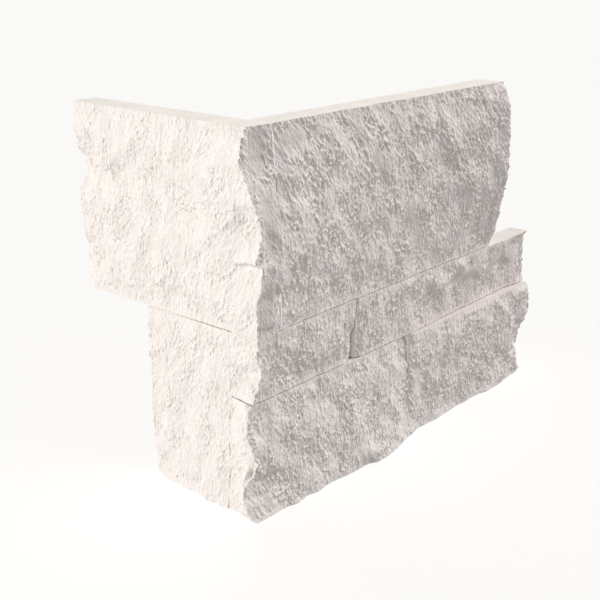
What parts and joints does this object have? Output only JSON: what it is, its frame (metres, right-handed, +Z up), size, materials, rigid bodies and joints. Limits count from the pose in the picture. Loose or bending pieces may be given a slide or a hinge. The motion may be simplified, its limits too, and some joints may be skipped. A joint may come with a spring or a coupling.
{
  "type": "split-face stone cladding corner piece",
  "caption": "L-shaped outside-corner piece of stacked stone wall cladding, split-faced strips bonded in staggered courses.",
  "frame": {"origin": "the wall's outside corner at the foot of the piece, where the two wall-side planes and the lower bed meet", "axes": "+X along the long wing away from the corner, +Y along the short wing away from the corner, +Z up; the wall fills x > 0 and y > 0"},
  "size_m": [0.2103, 0.1055, 0.152],
  "materials": {
    "split_stone": "split face, sawn edges",
    "joint_adhesive": "cured stone adhesive"
  },
  "bodies": {
    "root": {"short_wing_upper_stone": "split_stone", "short_wing_lower_stone": "split_stone", "long_wing_upper_stone": "split_stone", "middle_course_corner_stone": "split_stone", "middle_course_end_stone": "split_stone", "bottom_course_corner_stone": "split_stone", "bottom_course_end_stone": "split_stone", "upper_bed_adhesive": "joint_adhesive", "lower_bed_adhesive": "joint_adhesive", "upper_corner_adhesive": "joint_adhesive", "lower_corner_adhesive": "joint_adhesive", "middle_perpend_adhesive": "joint_adhesive", "bottom_perpend_adhesive": "joint_adhesive"}
  },
  "joints": []
}
